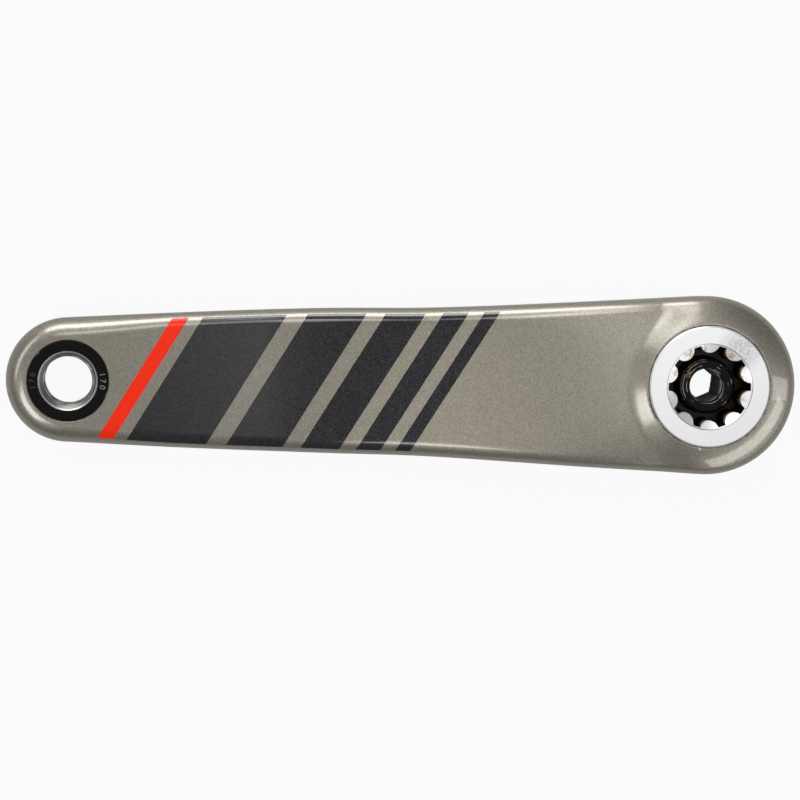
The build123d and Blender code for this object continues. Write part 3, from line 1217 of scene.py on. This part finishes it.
@dataclass(frozen=True)
class Softbox:
    """One soft lamp: its direction, distance, size, brightness, faded edges and the place that it faces."""

    name: str
    azimuth_deg: float
    elevation_deg: float
    distance: float
    size: Pair
    radiance: float
    fade: Pair
    target: Triple = (0.0, 0.0, 0.0)
    roll_deg: float = 0.0
    spread_deg: float = 180.0

    def build(self) -> None:
        """Set up the lamp."""
        around, above = math.radians(self.azimuth_deg), math.radians(self.elevation_deg)
        level = math.cos(above)
        away = Vector((level * math.cos(around), level * math.sin(around), math.sin(above)))
        lamp = bpy.data.lights.new(self.name, "AREA")
        lamp.shape = "RECTANGLE"
        lamp.size, lamp.size_y = self.size
        lamp.energy = self.radiance * math.pi * self.size[0] * self.size[1]
        if self.spread_deg < 180.0:
            half = 0.5 * math.radians(self.spread_deg)
            lamp.spread = 2.0 * half
            lamp.energy *= 1.0 - half / math.tan(half)
        self.soften(lamp)
        holder = bpy.data.objects.new(self.name, lamp)
        holder.location = Vector(self.target) + away * self.distance
        roll = Quaternion((0.0, 0.0, 1.0), math.radians(self.roll_deg))
        holder.rotation_euler = ((-away).to_track_quat("-Z", "Y") @ roll).to_euler()
        bpy.context.scene.collection.objects.link(holder)

    def soften(self, lamp: bpy.types.Light) -> None:
        """Fade the lamp's brightness towards its edges, as cloth over a lamp does."""
        lamp.use_nodes = True
        nodes = Nodes(lamp.node_tree)
        parts = nodes.split(nodes.make("NewGeometry", {}, "Parametric"))
        across, along = (
            nodes.span(nodes.math("PINGPONG", part, 0.5), 0.0, 0.5 * fade)
            for part, fade in zip(parts, self.fade)
        )
        nodes.close("OutputLight", nodes.make("Emission", {"Strength": across * along}))


@dataclass
class Studio:
    """Pale floor under the resting arm, soft lamps, a grey surround and the camera."""

    camera_place: Triple = (-0.13786, 0.05290, 0.74920)
    camera_aim: Triple = (0.07371, -0.07490, -0.99446)
    camera_up: Triple = (-0.00078, 0.99717, -0.07516)
    lens: float = 128.99
    sensor: float = 36.0
    clip: Pair = (0.01, 50.0)
    rest_left: Pair = (-0.1331, -0.0325)
    rest_right: Pair = (0.0202, -0.02403)
    floor_reach: float = 6.0
    floor_tone: float = 0.45
    floor_glow: float = 0.94
    mirrored_glow: float = 0.15
    fill: float = 0.18
    lamps: Tuple[Softbox, ...] = (
        Softbox("far_strip", 100.0, 17.0, 0.80, (0.68, 0.46), 5.0, (0.30, 0.50), (-0.13, 0.02, -0.01)),
        Softbox(
            "far_panel", 112.0, 54.0, 0.45, (0.36, 0.20), 4.4, (0.35, 0.55), (0.0, 0.01, 0.0), 10.0, 50.0,
        ),
        Softbox("far_low", 95.0, 37.0, 0.80, (0.30, 0.24), 2.4, (0.60, 0.80)),
        Softbox("left_panel", 213.0, 49.0, 0.85, (0.48, 0.50), 4.4, (0.60, 0.50), (-0.08, 0.0, -0.01)),
        Softbox("left_strip", 156.0, 31.0, 0.80, (0.90, 0.28), 2.8, (0.50, 0.70), (-0.17, 0.0, -0.02)),
        Softbox("right_panel", 314.5, 33.0, 0.80, (0.89, 0.30), 2.8, (0.08, 0.50)),
        Softbox("right_end", 354.0, 34.0, 0.80, (0.19, 0.46), 2.1, (0.25, 0.35)),
        Softbox("overhead", 31.0, 81.0, 0.352, (0.49, 0.56), 1.34, (1.0, 1.0), spread_deg=100.0),
    )

    def build(self) -> None:
        """Set up everything round the arm."""
        self.build_floor()
        self.build_world()
        for lamp in self.lamps:
            lamp.build()
        self.build_camera()

    def build_floor(self) -> None:
        """Lay a floor that touches the arm where it rests."""
        slope = (self.rest_right[1] - self.rest_left[1]) / (self.rest_right[0] - self.rest_left[0])
        bm = bmesh.new()
        bmesh.ops.create_grid(bm, x_segments=2, y_segments=2, size=self.floor_reach)
        for vert in bm.verts:
            vert.co.z = self.rest_left[1] + (vert.co.x - self.rest_left[0]) * slope
        floor = to_object(bm, "studio_floor", 30.0)
        floor.data.materials.append(self.pale_surface())

    def pale_surface(self) -> bpy.types.Material:
        """Pale floor that stays near white to the camera and keeps a soft shadow.

        Returns:
            The material.
        """
        material = bpy.data.materials.new("pale_floor")
        material.use_nodes = True
        nodes = Nodes(material.node_tree)
        camera, mirrored, through = (
            nodes.make("LightPath", {}, f"Is {ray} Ray") for ray in ("Camera", "Glossy", "Transmission")
        )
        seen = camera * self.floor_glow | mirrored * self.mirrored_glow | through * self.floor_glow
        dull = nodes.make("BsdfDiffuse", {"Color": (self.floor_tone,) * 3})
        glow = nodes.make("Emission", {"Color": (1.0, 1.0, 1.0)})
        nodes.close("OutputMaterial", nodes.make("MixShader", {0: seen, 1: dull, 2: glow}))
        return material

    def build_world(self) -> None:
        """Plain grey fill from all round."""
        world = bpy.data.worlds.new("studio")
        world.use_nodes = True
        nodes = Nodes(world.node_tree)
        nodes.close("OutputWorld", nodes.make("Background", {"Color": (self.fill,) * 3}))
        bpy.context.scene.world = world

    def build_camera(self) -> None:
        """Stand the camera where the photograph was taken from."""
        aim, up = Vector(self.camera_aim).normalized(), Vector(self.camera_up).normalized()
        right = aim.cross(up).normalized()
        up = right.cross(aim)
        turn = Matrix((right, up, -aim)).transposed()
        data = bpy.data.cameras.new("camera")
        data.sensor_width = self.sensor
        data.lens = self.lens
        data.clip_start, data.clip_end = self.clip
        holder = bpy.data.objects.new("camera", data)
        holder.matrix_world = Matrix.Translation(self.camera_place) @ turn.to_4x4()
        bpy.context.scene.collection.objects.link(holder)
        bpy.context.scene.camera = holder


def write_sizes() -> None:
    """Bring the scene's transforms up to date."""
    bpy.context.view_layer.update()


def main() -> None:
    """Build and dress every piece, then the studio round them."""
    logging.basicConfig(level=logging.INFO, format="%(name)s %(message)s")
    bpy.context.scene.view_settings.view_transform = "Standard"
    shell = ArmShell()
    shell.dress(shell.build())
    sleeve = CadCopy("spindle_insert", "splined_sleeve", Slot.SPINDLE, MachinedAlloy(), 16.0)
    sleeve.dress(sleeve.build())
    bush = PedalBush()
    bush.dress(bush.build(), bush.build_figures())
    bolt = HollowBolt()
    bolt.dress(bolt.build())
    # Near-black steel deep in the spline: old grease and painted shade.
    grease_and_shade_steel = PlainFinish("greased_steel_and_painted_shade", srgb(30, 27, 23), 0.4, 0.3)
    nylon = PlainFinish("dark_nylon", srgb(34, 34, 34), 0.0, 0.5)
    anodised = BlackedMetal("black_anodised", srgb(30, 30, 31), roughness=0.38, metallic=0.7)
    for ring in (
        CadCopy("thrust_washer", "thrust_ring", Slot.THRUST, grease_and_shade_steel),
        CadCopy("glide_washer", "glide_ring", Slot.GLIDE, nylon),
        CadCopy("extractor_cap", "captive_cap", Slot.CAP, anodised),
    ):
        ring.dress(ring.build())
    Studio().build()
    write_sizes()


if __name__ == "__main__":
    main()
